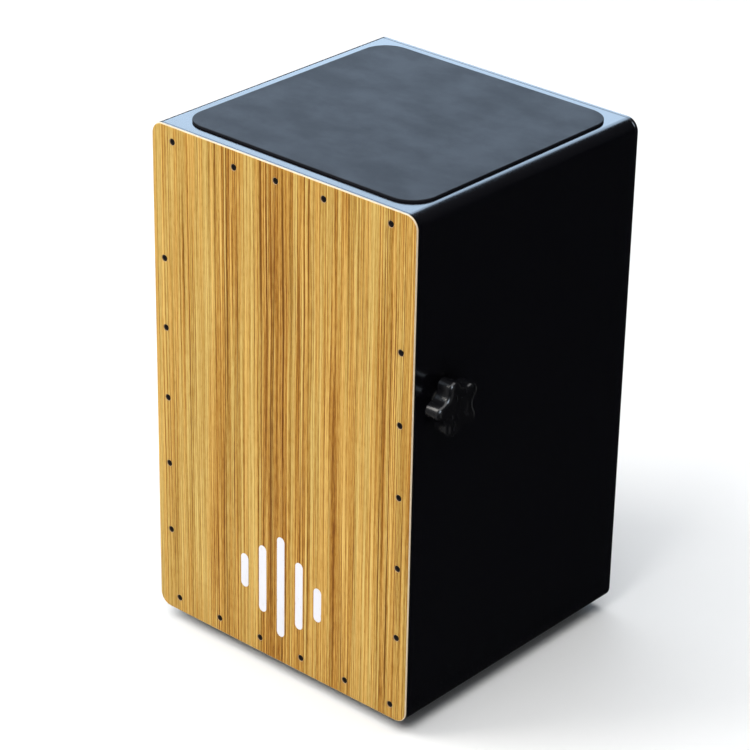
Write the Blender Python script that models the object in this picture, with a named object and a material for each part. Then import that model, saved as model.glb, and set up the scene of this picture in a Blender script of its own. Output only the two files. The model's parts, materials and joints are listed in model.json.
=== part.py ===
"""A cajon: a plywood box drum with a screwed-on striking plate, a seat pad and turnable snares.

Metres, +Z up. The front, with the striking plate, faces -Y, and the snare knob is on the
+X side. The origin is on the floor, under the middle of the bounding box. Neighbouring
solids keep a glue line or a clearance of GAP.
"""

import math

import bmesh
import bpy
from mathutils import Matrix

MM = 0.001
GAP = 0.3 * MM

# Facets round a circle
CORNER_STEPS = 8
SCREW_STEPS = 12
WIRE_STEPS = 8
ROD_STEPS = 20
ROUND_STEPS = 24
SOUND_HOLE_STEPS = 48

# Cabinet
BOX_W = 300 * MM
BOX_D = 290 * MM
BOX_H = 480 * MM
CORNER_R = 12 * MM
WALL_T = 9 * MM
REBATE = 4.5 * MM
PLATE_T = 3 * MM
BACK_T = 4 * MM
SOUND_HOLE_R = 57.5 * MM
SOUND_HOLE_UP = 285 * MM

# Battens inside the front and rear edges
BATTEN_W = 12 * MM
BATTEN_D = 15 * MM

# Seat pad: a thin sheet, glued on a little right of the middle
PAD_W = 265 * MM
PAD_L = 262 * MM
PAD_T = 2.2 * MM
PAD_R = 25 * MM
PAD_RIGHT = 2.8 * MM

# Feet and their screws
FOOT_H = 12 * MM
FOOT_R = 14 * MM
FOOT_TOP_R = 15 * MM
FOOT_EDGE = 1 * MM
FOOT_INSET = 40 * MM
FOOT_RECESS_R = 6 * MM
FOOT_RECESS_H = 6 * MM
FOOT_SCREW_R = 2 * MM
FOOT_SCREW_HEAD_R = 4 * MM
FOOT_SCREW_HEAD_H = 2.6 * MM
FOOT_SCREW_REACH = 6.5 * MM

# Pan-head screws: the end and the top as a share of the radius, the rim of the head's height
PAN_TAPER = 0.75
PAN_RIM = 0.625

# Striking plate screws
SCREW_R = 1.6 * MM
SCREW_HEAD_R = 2.8 * MM
SCREW_SUNK = 0.3 * MM
SCREW_L = 16 * MM
SCREW_TIP_L = 3 * MM
SCREW_TIP_R = 0.3 * MM
COUNTERSINK_R = 3.4 * MM
CUTTER_ABOVE = 0.5 * MM

# Their places on the plate in mm, as (right of the middle, up from its bottom edge). They
# were set out by eye, so the rows are a little uneven.
TOP_SCREWS = [(-125.5, 466), (-53, 464), (-5, 466), (49, 466), (122, 466.5)]
BOTTOM_SCREWS = [(-125.5, 14), (-74, 14), (-23.5, 15), (26.5, 15), (79, 15), (132, 14)]
LEFT_SCREWS = [(-134.8, 83), (-135.6, 151.5), (-136, 218), (-136.8, 287), (-137.2, 354)]
RIGHT_SCREWS = [(137.6, 84), (137.1, 152.5), (136.7, 221), (136.1, 289), (135.6, 356)]

# Snare mechanism: its axis runs along X, behind the striking plate
AXIS_BACK = 33 * MM
AXIS_UP = 306 * MM
BAR_HALF_L = 127.5 * MM
BAR_FRONT = 26.3 * MM
BAR_REAR = 10 * MM
BAR_HALF_H = 10 * MM
STUD_R = 4 * MM
STUD_IN_BAR = 26 * MM
STUD_IN_KNOB = 12 * MM
PIN_R = 3 * MM
PIN_IN_BAR = 14 * MM
NUT_H = 6 * MM
NUT_ACROSS_FLATS = 13 * MM
RUBBER_R = 9 * MM
BUSH_R = 6 * MM
BUSH_FLANGE_R = 8 * MM
BUSH_FLANGE_T = 1.2 * MM
WASHER_R = 8 * MM
WASHER_T = 1 * MM

# Star knob: lobes joined by scallops that are tangent to them
KNOB_LOBES = 5
KNOB_R = 26 * MM
LOBE_R = 7 * MM
SCALLOP_R = 9.5 * MM
LOBE_PHASE = math.radians(176)
ARC_STEPS = 5
KNOB_BACK = 6.5 * MM
KNOB_REACH = 23 * MM
KNOB_EDGE = 2 * MM
HUB_R = 12 * MM

# Pivot block on the left wall, and above it the peg that stops the bar
BLOCK_T = 10 * MM
BLOCK_FRONT = 14.7 * MM
BLOCK_REAR = 15 * MM
BLOCK_HALF_H = 16 * MM
STOP_L = 24 * MM
STOP_D = 12 * MM
STOP_H = 8 * MM
STOP_UP = 20.5 * MM

# Snare wires: two combs, each a steel strip with coiled wires soldered to it
COMB_X = 75 * MM
WIRES = 10
WIRE_PITCH = 4.6 * MM
WIRE_R = 1 * MM
WIRE_DOWN = 3 * MM
WIRE_UP = 145 * MM
SOLDER_DEPTH = 0.2 * MM
STRIP_HALF_L = 30 * MM
STRIP_T = 1.2 * MM
STRIP_DOWN = 4 * MM
STRIP_UP = 8 * MM
COMB_SCREW_OUT = 25.5 * MM
COMB_SCREW_UP = 2 * MM
COMB_SCREW_R = 1.3 * MM
COMB_SCREW_HEAD_R = 2.5 * MM
COMB_SCREW_HEAD_H = 1.5 * MM
COMB_SCREW_L = 10 * MM

# Derived places, in the cabinet's frame
HALF_W = BOX_W / 2
HALF_D = BOX_D / 2
BOTTOM = FOOT_H
TOP = FOOT_H + BOX_H
INNER_X = HALF_W - WALL_T
FRONT_Y = -HALF_D + PLATE_T
REAR_Y = HALF_D - BACK_T
AXIS_Y = -HALF_D + AXIS_BACK
AXIS_Z = BOTTOM + AXIS_UP
STUD_HOLE_R = STUD_R + GAP
PIN_HOLE_R = PIN_R + GAP
STRIP_REAR = BAR_FRONT + GAP
STRIP_FRONT = STRIP_REAR + STRIP_T
WIRE_Y = STRIP_FRONT + WIRE_R - SOLDER_DEPTH

FACE_FRONT = (math.pi / 2, 0, 0)
FACE_RIGHT = (0, math.pi / 2, 0)
FACE_DOWN = (math.pi, 0, 0)
SHARP_ANGLE = math.radians(35)


def clear_scene():
    for obj in list(bpy.data.objects):
        bpy.data.objects.remove(obj, do_unlink=True)


def material(name, colour, roughness, metallic=0.0):
    made = bpy.data.materials.new(name)
    made.use_nodes = True
    shader = made.node_tree.nodes["Principled BSDF"]
    shader.inputs["Base Color"].default_value = (*colour, 1.0)
    shader.inputs["Roughness"].default_value = roughness
    shader.inputs["Metallic"].default_value = metallic
    return made


def make_materials():
    return {
        "zebrano": material("zebrano", (0.56, 0.34, 0.12), 0.35),
        "black_lacquer": material("black_lacquer", (0.012, 0.012, 0.014), 0.25),
        "bare_wood": material("bare_wood", (0.62, 0.45, 0.27), 0.6),
        "pad": material("pad", (0.07, 0.08, 0.09), 0.7),
        "rubber": material("rubber", (0.02, 0.02, 0.02), 0.8),
        "knob_plastic": material("knob_plastic", (0.015, 0.015, 0.017), 0.3),
        "nylon": material("nylon", (0.75, 0.74, 0.7), 0.45),
        "black_screw": material("black_screw", (0.02, 0.02, 0.022), 0.4, 0.8),
        "steel": material("steel", (0.6, 0.6, 0.62), 0.3, 1.0),
    }


def empty(name, location, parent=None):
    made = bpy.data.objects.new(name, None)
    bpy.context.scene.collection.objects.link(made)
    made.location = location
    made.parent = parent
    return made


def add(name, shape, parent, paint=None, location=(0, 0, 0), rotation=(0, 0, 0)):
    """Turns a bmesh into an object; without paint it is a helper for a Boolean."""
    bmesh.ops.recalc_face_normals(shape, faces=shape.faces)
    mesh = bpy.data.meshes.new(name)
    shape.to_mesh(mesh)
    shape.free()
    mesh.shade_smooth()
    mesh.set_sharp_from_angle(angle=SHARP_ANGLE)
    made = bpy.data.objects.new(name, mesh)
    bpy.context.scene.collection.objects.link(made)
    made.parent = parent
    made.location = location
    made.rotation_euler = rotation
    if paint is None:
        made.hide_render = True
        made.display_type = "WIRE"
    else:
        mesh.materials.append(paint)
    return made


def combine(target, other, operation):
    modifier = target.modifiers.new(other.name, "BOOLEAN")
    modifier.object = other
    modifier.operation = operation
    modifier.solver = "EXACT"


def arc(centre, radius, start, end, steps):
    """Points on a circle from angle start to angle end, both ends included."""
    return [
        (
            centre[0] + radius * math.cos(start + (end - start) * i / steps),
            centre[1] + radius * math.sin(start + (end - start) * i / steps),
        )
        for i in range(steps + 1)
    ]


def rounded_rectangle(width, height, radius):
    outline = []
    for quarter, (side, end) in enumerate([(1, 1), (-1, 1), (-1, -1), (1, -1)]):
        centre = (side * (width / 2 - radius), end * (height / 2 - radius))
        start = quarter * math.pi / 2
        outline += arc(centre, radius, start, start + math.pi / 2, CORNER_STEPS)
    return outline


def prism(outline, low, high, axis="Z"):
    """Extrudes an outline. Along Z it lies in XY, along Y in XZ."""
    shape = bmesh.new()
    corners = []
    for u, v in outline:
        corners.append(shape.verts.new((u, v, low) if axis == "Z" else (u, low, v)))
    face = shape.faces.new(corners)
    swept = bmesh.ops.extrude_face_region(shape, geom=[face])
    moved = [v for v in swept["geom"] if isinstance(v, bmesh.types.BMVert)]
    travel = (0, 0, high - low) if axis == "Z" else (0, high - low, 0)
    bmesh.ops.translate(shape, verts=moved, vec=travel)
    return shape


def block(x, y, z):
    """A box from three (low, high) pairs."""
    return prism([(x[0], y[0]), (x[1], y[0]), (x[1], y[1]), (x[0], y[1])], *z)


def turned(profile, steps, into=None):
    """Spins (radius, height) points about Z; the ends of the profile are closed with caps."""
    shape = into or bmesh.new()
    rings = []
    for radius, height in profile:
        ring = []
        for i in range(steps):
            angle = 2 * math.pi * i / steps
            point = (radius * math.cos(angle), radius * math.sin(angle), height)
            ring.append(shape.verts.new(point))
        rings.append(ring)
    for lower, upper in zip(rings, rings[1:]):
        for i in range(steps):
            j = (i + 1) % steps
            shape.faces.new((lower[i], lower[j], upper[j], upper[i]))
    shape.faces.new(reversed(rings[0]))
    shape.faces.new(rings[-1])
    return shape


def turned_ring(profile, steps):
    """Spins a closed (radius, height) profile that stays clear of the axis."""
    shape = bmesh.new()
    rings = []
    for radius, height in profile:
        ring = []
        for i in range(steps):
            angle = 2 * math.pi * i / steps
            point = (radius * math.cos(angle), radius * math.sin(angle), height)
            ring.append(shape.verts.new(point))
        rings.append(ring)
    for lower, upper in zip(rings, rings[1:] + rings[:1]):
        for i in range(steps):
            j = (i + 1) % steps
            shape.faces.new((lower[i], lower[j], upper[j], upper[i]))
    return shape


def washer(hole_r, outer_r, thickness):
    corners = [(hole_r, 0), (outer_r, 0), (outer_r, thickness), (hole_r, thickness)]
    return turned_ring(corners, ROUND_STEPS)


def mirrored(outline):
    """The same outline with its X turned over."""
    return [(-u, v) for u, v in outline]


# Cabinet panels


def lid_outline(sign, level):
    """Section of the top (sign 1) or bottom (sign -1) panel, whose outer face is at level.

    Its ends are rounded and rebated over the side panels.
    """
    reach = math.asin((CORNER_R - REBATE) / CORNER_R)
    centre = (HALF_W - CORNER_R, level - sign * CORNER_R)
    rounding = arc(centre, CORNER_R, sign * reach, sign * math.pi / 2, CORNER_STEPS)
    tongue_x = INNER_X - GAP
    tongue = (tongue_x, level - sign * WALL_T)
    shoulder = (tongue_x, level - sign * REBATE)
    right = [tongue, shoulder] + rounding
    return right + mirrored(right)[::-1]


def side_outline():
    """Section of the right side panel, between the rebates of the top and the bottom."""
    reach = math.asin((CORNER_R - REBATE - GAP) / CORNER_R)
    high = arc((HALF_W - CORNER_R, TOP - CORNER_R), CORNER_R, 0, reach, CORNER_STEPS)
    low = arc((HALF_W - CORNER_R, BOTTOM + CORNER_R), CORNER_R, -reach, 0, CORNER_STEPS)
    inner = [(INNER_X, high[-1][1]), (INNER_X, low[0][1])]
    return low + high + inner


def make_shell(cabinet, paints):
    paint = paints["black_lacquer"]
    depth = (FRONT_Y + GAP, REAR_Y - GAP)
    top = prism(lid_outline(1, TOP), *depth, axis="Y")
    add("top_panel", top, cabinet, paint)
    bottom = prism(lid_outline(-1, BOTTOM), *depth, axis="Y")
    bottom_panel = add("bottom_panel", bottom, cabinet, paint)
    right = prism(side_outline(), *depth, axis="Y")
    right_panel = add("right_side_panel", right, cabinet, paint)
    left = prism(mirrored(side_outline()), *depth, axis="Y")
    add("left_side_panel", left, cabinet, paint)
    return bottom_panel, right_panel


def make_back_panel(cabinet, paints):
    middle = (0, 0, BOTTOM + BOX_H / 2)
    outline = rounded_rectangle(BOX_W, BOX_H, CORNER_R)
    sheet = prism(outline, REAR_Y, HALF_D, axis="Y")
    panel = add("back_panel", sheet, cabinet, paints["black_lacquer"], middle)
    hole = turned([(SOUND_HOLE_R, -BACK_T), (SOUND_HOLE_R, BACK_T)], SOUND_HOLE_STEPS)
    centre = (0, REAR_Y + BACK_T / 2, BOTTOM + SOUND_HOLE_UP)
    cutter = add("sound_hole_cutter", hole, cabinet, None, centre, FACE_FRONT)
    combine(panel, cutter, "DIFFERENCE")


def make_battens(cabinet, paints):
    """Glue strips round the front and rear edges; the front ones take the plate's screws."""
    paint = paints["bare_wood"]
    made = {}
    ends = {
        "front": (FRONT_Y + GAP, FRONT_Y + BATTEN_D),
        "rear": (REAR_Y - BATTEN_D, REAR_Y - GAP),
    }
    wide = INNER_X - GAP
    ceiling = TOP - WALL_T - GAP
    floor = BOTTOM + WALL_T + GAP
    between = (floor + BATTEN_W + GAP, ceiling - BATTEN_W - GAP)
    for end, depth in ends.items():
        spans = {
            "top": ((-wide, wide), depth, (ceiling - BATTEN_W, ceiling)),
            "bottom": ((-wide, wide), depth, (floor, floor + BATTEN_W)),
            "right": ((wide - BATTEN_W, wide), depth, between),
            "left": ((-wide, BATTEN_W - wide), depth, between),
        }
        for side, span in spans.items():
            name = f"{end}_batten_{side}"
            made[name] = add(name, block(*span), cabinet, paint)
    return made


# Striking plate and its screws


def plate_screw_places():
    """(x, z) of each screw, by rows: top, bottom, then the two sides."""
    rows = TOP_SCREWS + BOTTOM_SCREWS + LEFT_SCREWS + RIGHT_SCREWS
    return [(right * MM, BOTTOM + up * MM) for right, up in rows]


def plate_screw():
    """A countersunk wood screw along Z, its head's face at height 0."""
    cone = SCREW_HEAD_R - SCREW_R
    profile = [
        (SCREW_TIP_R, -SCREW_L),
        (SCREW_R, SCREW_TIP_L - SCREW_L),
        (SCREW_R, -cone),
        (SCREW_HEAD_R, 0),
    ]
    return turned(profile, SCREW_STEPS)


def screw_hole(into):
    """A countersink and pilot hole along Z, from above the plate's face at height 0."""
    pilot = SCREW_R + GAP
    profile = [
        (pilot, -SCREW_L - 2 * GAP),
        (pilot, pilot - COUNTERSINK_R),
        (COUNTERSINK_R + CUTTER_ABOVE, CUTTER_ABOVE),
    ]
    return turned(profile, SCREW_STEPS, into)


def make_striking_plate(cabinet, paints, battens):
    middle = (0, 0, BOTTOM + BOX_H / 2)
    outline = rounded_rectangle(BOX_W, BOX_H, CORNER_R)
    sheet = prism(outline, -HALF_D, FRONT_Y, axis="Y")
    plate = add("front_plate", sheet, cabinet, paints["zebrano"], middle)
    holes = bmesh.new()
    for number, (x, z) in enumerate(plate_screw_places(), start=1):
        name = f"plate_screw_{number:02d}"
        head = (x, -HALF_D + SCREW_SUNK, z)
        add(name, plate_screw(), cabinet, paints["black_screw"], head, FACE_FRONT)
        before = set(holes.verts)
        screw_hole(holes)
        new = [v for v in holes.verts if v not in before]
        place = Matrix.Translation((x, z, 0))
        bmesh.ops.transform(holes, matrix=place, verts=new)
    cutter = add("plate_holes", holes, cabinet, None, (0, -HALF_D, 0), FACE_FRONT)
    combine(plate, cutter, "DIFFERENCE")
    for side in ("top", "bottom", "left", "right"):
        combine(battens[f"front_batten_{side}"], cutter, "DIFFERENCE")


# Seat pad and feet


def make_seat_pad(cabinet, paints):
    outline = rounded_rectangle(PAD_W, PAD_L, PAD_R)
    place = (PAD_RIGHT, 0, TOP)
    add("seat_pad", prism(outline, GAP, PAD_T), cabinet, paints["pad"], place)


def rubber_foot():
    """A foot standing on height 0, with a recess and a hole for its screw."""
    hole = FOOT_SCREW_R + GAP
    profile = [
        (FOOT_RECESS_R, 0),
        (FOOT_R - FOOT_EDGE, 0),
        (FOOT_R, FOOT_EDGE),
        (FOOT_TOP_R, FOOT_H - GAP),
        (hole, FOOT_H - GAP),
        (hole, FOOT_RECESS_H),
        (FOOT_RECESS_R, FOOT_RECESS_H),
    ]
    return turned_ring(profile, ROUND_STEPS)


def pan_screw(head_r, head_h, shank_r, length):
    """A pan-head screw along Z, the underside of its head at height 0."""
    profile = [
        (shank_r * PAN_TAPER, -length),
        (shank_r, -length + shank_r),
        (shank_r, 0),
        (head_r, 0),
        (head_r, head_h * PAN_RIM),
        (head_r * PAN_TAPER, head_h),
    ]
    return turned(profile, SCREW_STEPS)


def make_feet(cabinet, paints, bottom_panel):
    reach = HALF_W - FOOT_INSET, HALF_D - FOOT_INSET
    head_z = FOOT_RECESS_H - GAP
    shank = FOOT_H - FOOT_RECESS_H + GAP + FOOT_SCREW_REACH
    drill = [(FOOT_SCREW_R + GAP, -WALL_T), (FOOT_SCREW_R + GAP, FOOT_SCREW_REACH + GAP)]
    corners = {
        "front_left": (-1, -1),
        "front_right": (1, -1),
        "rear_left": (-1, 1),
        "rear_right": (1, 1),
    }
    for corner, (side, end) in corners.items():
        x, y = side * reach[0], end * reach[1]
        add(f"foot_{corner}", rubber_foot(), cabinet, paints["rubber"], (x, y, 0))
        screw = pan_screw(FOOT_SCREW_HEAD_R, FOOT_SCREW_HEAD_H, FOOT_SCREW_R, shank)
        place = (x, y, head_z)
        add(f"foot_screw_{corner}", screw, cabinet, paints["steel"], place, FACE_DOWN)
        hole = turned(drill, SCREW_STEPS)
        cutter = add(f"foot_hole_{corner}", hole, cabinet, None, (x, y, BOTTOM))
        combine(bottom_panel, cutter, "DIFFERENCE")


# Snare mechanism. Its pieces hang on an empty on the axis, so their places are from there.


def star_outline():
    """Lobes of radius LOBE_R joined by scallops of radius SCALLOP_R, tangent to them."""
    half_step = math.pi / KNOB_LOBES
    lobe_out = KNOB_R - LOBE_R
    across = LOBE_R + SCALLOP_R
    along = lobe_out * math.cos(half_step)
    side = lobe_out * math.sin(half_step)
    scallop_out = along + math.sqrt(across**2 - side**2)
    turn = math.atan2(
        scallop_out * math.sin(half_step), scallop_out * math.cos(half_step) - lobe_out
    )
    dip = math.pi - turn + half_step
    outline = []
    for k in range(KNOB_LOBES):
        lobe = LOBE_PHASE + 2 * k * half_step
        centre = (lobe_out * math.cos(lobe), lobe_out * math.sin(lobe))
        outline += arc(centre, LOBE_R, lobe - turn, lobe + turn, ARC_STEPS)
        valley = lobe + half_step
        centre = (scallop_out * math.cos(valley), scallop_out * math.sin(valley))
        swing = math.pi - dip
        inward = valley + math.pi
        outline += arc(centre, SCALLOP_R, inward + swing, inward - swing, ARC_STEPS)[1:-1]
    return outline


def star_body():
    """The lobed grip along Z, its edges rounded by drawing the outline in."""
    inset = KNOB_EDGE / KNOB_R
    levels = [
        (1 - inset, KNOB_BACK),
        (1, KNOB_BACK + KNOB_EDGE),
        (1, KNOB_REACH - 1.5 * KNOB_EDGE),
        (1 - 0.4 * inset, KNOB_REACH - 0.7 * KNOB_EDGE),
        (1 - 1.6 * inset, KNOB_REACH - 0.15 * KNOB_EDGE),
        (1 - 3 * inset, KNOB_REACH),
    ]
    shape = bmesh.new()
    rings = []
    for scale, height in levels:
        ring = [shape.verts.new((u * scale, v * scale, height)) for u, v in star_outline()]
        rings.append(ring)
    count = len(rings[0])
    for lower, upper in zip(rings, rings[1:]):
        for i in range(count):
            j = (i + 1) % count
            shape.faces.new((lower[i], lower[j], upper[j], upper[i]))
    shape.faces.new(reversed(rings[0]))
    shape.faces.new(rings[-1])
    return shape


def make_knob(axis, paints):
    """The star knob, its face KNOB_REACH from the wall, on a hub with a blind bore."""
    wall = (HALF_W, 0, 0)
    # Turned to face right, with local X to the rear and local Y up.
    upright = (math.pi / 2, 0, math.pi / 2)
    knob = add("snare_knob", star_body(), axis, paints["knob_plastic"], wall, upright)
    hub_face = 2 * GAP + BUSH_FLANGE_T + WASHER_T + GAP
    hub = turned([(HUB_R - GAP, hub_face), (HUB_R, KNOB_BACK + KNOB_EDGE)], ROUND_STEPS)
    joined = add("knob_hub", hub, axis, None, wall, upright)
    combine(knob, joined, "UNION")
    bore_end = hub_face + STUD_IN_KNOB
    bore = turned([(STUD_HOLE_R, 0), (STUD_HOLE_R, bore_end)], ROD_STEPS)
    cutter = add("knob_bore", bore, axis, None, wall, upright)
    combine(knob, cutter, "DIFFERENCE")
    return hub_face


def make_stud(axis, paints, hub_face):
    low = BAR_HALF_L - STUD_IN_BAR
    high = HALF_W + hub_face + STUD_IN_KNOB - GAP
    rod = turned([(STUD_R, low), (STUD_R, high)], ROD_STEPS)
    add("knob_stud", rod, axis, paints["steel"], rotation=FACE_RIGHT)


def make_nut(axis, paints):
    """The hexagon nut that locks the stud to the end of the bar."""
    corner_r = NUT_ACROSS_FLATS / 2 / math.cos(math.pi / 6)
    nut = turned([(corner_r, 0), (corner_r, NUT_H)], 6)
    place = (BAR_HALF_L + GAP, 0, 0)
    made = add("lock_nut", nut, axis, paints["steel"], place, FACE_RIGHT)
    hole = turned([(STUD_HOLE_R, -NUT_H), (STUD_HOLE_R, 2 * NUT_H)], ROD_STEPS)
    cutter = add("nut_hole", hole, axis, None, place, FACE_RIGHT)
    combine(made, cutter, "DIFFERENCE")


def make_bar(axis, paints):
    """The beech bar that carries the snares, with a bore in each end."""
    shape = block(
        (-BAR_HALF_L, BAR_HALF_L), (-BAR_FRONT, BAR_REAR), (-BAR_HALF_H, BAR_HALF_H)
    )
    bar = add("snare_bar", shape, axis, paints["bare_wood"])
    stud_end = BAR_HALF_L - STUD_IN_BAR - GAP
    pin_end = BAR_HALF_L - PIN_IN_BAR - GAP
    bores = {
        "stud_bore": (STUD_HOLE_R, stud_end, BAR_HALF_L + WALL_T),
        "pin_bore": (PIN_HOLE_R, -BAR_HALF_L - WALL_T, -pin_end),
    }
    for name, (radius, low, high) in bores.items():
        bore = turned([(radius, low), (radius, high)], ROD_STEPS)
        cutter = add(name, bore, axis, None, rotation=FACE_RIGHT)
        combine(bar, cutter, "DIFFERENCE")
    return bar


def make_pin(axis, paints):
    low = -INNER_X + 3 * GAP
    high = -BAR_HALF_L + PIN_IN_BAR
    pin = turned([(PIN_R, low), (PIN_R, high)], ROD_STEPS)
    add("pivot_pin", pin, axis, paints["steel"], rotation=FACE_RIGHT)


def make_combs(axis, paints, bar):
    """Two steel strips, each with a row of wires, screwed to the front of the bar."""
    for side, middle in {"left": -COMB_X, "right": COMB_X}.items():
        place = (middle, 0, 0)
        strip = block(
            (-STRIP_HALF_L, STRIP_HALF_L),
            (-STRIP_FRONT, -STRIP_REAR),
            (-STRIP_DOWN, STRIP_UP),
        )
        comb = add(f"snare_wires_{side}", strip, axis, paints["steel"], place)
        wires = bmesh.new()
        for i in range(WIRES):
            before = set(wires.verts)
            turned([(WIRE_R, -WIRE_DOWN), (WIRE_R, WIRE_UP)], WIRE_STEPS, wires)
            new = [v for v in wires.verts if v not in before]
            x = (i - (WIRES - 1) / 2) * WIRE_PITCH
            bmesh.ops.translate(wires, verts=new, vec=(x, -WIRE_Y, 0))
        joined = add(f"wire_row_{side}", wires, axis, None, place)
        combine(comb, joined, "UNION")
        for number, out in enumerate((-COMB_SCREW_OUT, COMB_SCREW_OUT), start=1):
            make_comb_screw(axis, paints, f"{side}_{number}", middle + out, (comb, bar))


def make_comb_screw(axis, paints, label, x, drilled):
    place = (x, -STRIP_FRONT - GAP, COMB_SCREW_UP)
    screw = pan_screw(COMB_SCREW_HEAD_R, COMB_SCREW_HEAD_H, COMB_SCREW_R, COMB_SCREW_L)
    add(f"snare_screw_{label}", screw, axis, paints["steel"], place, FACE_FRONT)
    hole_r = COMB_SCREW_R + GAP
    hole = turned([(hole_r, -COMB_SCREW_L - GAP), (hole_r, STRIP_T)], SCREW_STEPS)
    cutter = add(f"snare_screw_hole_{label}", hole, axis, None, place, FACE_FRONT)
    for target in drilled:
        combine(target, cutter, "DIFFERENCE")


# Fixed pieces that guide the snare mechanism


def make_wall_bush(cabinet, paints, right_panel):
    """The flanged bush in the right wall, the washer outside it and the rubber inside."""
    wall = (HALF_W, AXIS_Y, AXIS_Z)
    bush = turned_ring(
        [
            (STUD_HOLE_R, -WALL_T),
            (BUSH_R, -WALL_T),
            (BUSH_R, GAP),
            (BUSH_FLANGE_R, GAP),
            (BUSH_FLANGE_R, GAP + BUSH_FLANGE_T),
            (STUD_HOLE_R, GAP + BUSH_FLANGE_T),
        ],
        ROUND_STEPS,
    )
    add("wall_bush", bush, cabinet, paints["nylon"], wall, FACE_RIGHT)
    hole = turned([(BUSH_R + GAP, -2 * WALL_T), (BUSH_R + GAP, WALL_T)], ROUND_STEPS)
    cutter = add("bush_hole", hole, cabinet, None, wall, FACE_RIGHT)
    combine(right_panel, cutter, "DIFFERENCE")
    outside = (HALF_W + 2 * GAP + BUSH_FLANGE_T, AXIS_Y, AXIS_Z)
    ring = washer(STUD_HOLE_R, WASHER_R, WASHER_T)
    add("knob_washer", ring, cabinet, paints["steel"], outside, FACE_RIGHT)
    start = BAR_HALF_L + 2 * GAP + NUT_H
    rubber = washer(STUD_HOLE_R, RUBBER_R, INNER_X - GAP - start)
    inside = (start, AXIS_Y, AXIS_Z)
    add("friction_washer", rubber, cabinet, paints["rubber"], inside, FACE_RIGHT)


def make_pivot_block(cabinet, paints):
    """A block glued to the left wall, with a bore for the pin, and the stop peg above it."""
    middle = (0, AXIS_Y, AXIS_Z)
    wall = -INNER_X + GAP
    face = wall + BLOCK_T
    shape = block(
        (wall, face), (-BLOCK_FRONT, BLOCK_REAR), (-BLOCK_HALF_H, BLOCK_HALF_H)
    )
    made = add("pivot_block", shape, cabinet, paints["bare_wood"], middle)
    bore = turned([(PIN_HOLE_R, -HALF_W), (PIN_HOLE_R, face + BLOCK_T)], ROD_STEPS)
    cutter = add("pivot_bore", bore, cabinet, None, middle, FACE_RIGHT)
    combine(made, cutter, "DIFFERENCE")
    peg = block(
        (wall, wall + STOP_L),
        (-BLOCK_FRONT, STOP_D - BLOCK_FRONT),
        (STOP_UP, STOP_UP + STOP_H),
    )
    add("bar_stop", peg, cabinet, paints["bare_wood"], middle)


def main():
    clear_scene()
    paints = make_materials()
    # The knob stands out to the right, so the cabinet sits half its reach to the left.
    cabinet = empty("cajon", (-KNOB_REACH / 2, 0, 0))
    axis = empty("snare_axis", (0, AXIS_Y, AXIS_Z), cabinet)
    bottom_panel, right_panel = make_shell(cabinet, paints)
    make_back_panel(cabinet, paints)
    battens = make_battens(cabinet, paints)
    make_striking_plate(cabinet, paints, battens)
    make_seat_pad(cabinet, paints)
    make_feet(cabinet, paints, bottom_panel)
    make_wall_bush(cabinet, paints, right_panel)
    make_pivot_block(cabinet, paints)
    hub_face = make_knob(axis, paints)
    make_stud(axis, paints, hub_face)
    make_nut(axis, paints)
    bar = make_bar(axis, paints)
    make_pin(axis, paints)
    make_combs(axis, paints, bar)


main()
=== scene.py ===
"""The cajon's looks: zebrano striking plate, black lacquered plywood, rubber pad, star knob, snares.

Everything is in metres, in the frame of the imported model: +Z up, the striking plate faces -Y,
the knob is on the +X side. Sizes given in millimetres are multiplied by MM.
"""

import json
from math import asin, atan2, copysign, cos, pi, radians, sin, sqrt

import bmesh
import bpy
from mathutils import Matrix, Vector, noise


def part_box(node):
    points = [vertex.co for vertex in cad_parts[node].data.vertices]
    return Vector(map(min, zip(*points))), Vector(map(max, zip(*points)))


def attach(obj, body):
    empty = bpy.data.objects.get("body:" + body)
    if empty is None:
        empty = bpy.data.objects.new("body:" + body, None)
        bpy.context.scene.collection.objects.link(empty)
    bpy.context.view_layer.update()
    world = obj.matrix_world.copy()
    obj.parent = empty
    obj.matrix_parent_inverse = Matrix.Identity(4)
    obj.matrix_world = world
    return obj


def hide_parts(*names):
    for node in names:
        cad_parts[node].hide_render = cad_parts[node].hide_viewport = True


MM = 0.001
SHARP_ANGLE = radians(35)

# Facets round a circle
SMALL_STEPS = 24
ROD_STEPS = 32
ROUND_STEPS = 48
WIDE_STEPS = 96

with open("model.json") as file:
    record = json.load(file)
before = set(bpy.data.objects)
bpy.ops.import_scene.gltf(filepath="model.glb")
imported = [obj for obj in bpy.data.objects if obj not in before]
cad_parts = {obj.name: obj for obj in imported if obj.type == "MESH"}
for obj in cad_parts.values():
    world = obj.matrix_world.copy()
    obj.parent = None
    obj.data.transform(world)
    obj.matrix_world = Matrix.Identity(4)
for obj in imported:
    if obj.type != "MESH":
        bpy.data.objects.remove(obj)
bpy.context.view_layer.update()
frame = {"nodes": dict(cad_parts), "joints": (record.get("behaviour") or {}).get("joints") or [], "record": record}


def corners_of(node):
    """The lowest and the highest corner of a CAD node."""
    low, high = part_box(node)
    return Vector(low), Vector(high)


def middle_of(node):
    low, high = corners_of(node)
    return (low + high) / 2


# Places in the cabinet, read from the frame
PLATE_LOW, PLATE_HIGH = corners_of("front_plate")
BACK_LOW, BACK_HIGH = corners_of("back_panel")
MIDDLE_X = (PLATE_LOW.x + PLATE_HIGH.x) / 2
BOTTOM = PLATE_LOW.z
TOP = PLATE_HIGH.z
HALF_W = (PLATE_HIGH.x - PLATE_LOW.x) / 2
CORNER_R = 12 * MM
CORNER_STEPS = 12
WALL_T = 9 * MM
REBATE = 4.5 * MM
CLEARANCE = 0.3 * MM
CORNERS = ("front_left", "front_right", "rear_left", "rear_right")
AXIS = Vector(frame["joints"][0]["pos_m"])


# Node graphs for the materials and the world


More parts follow.
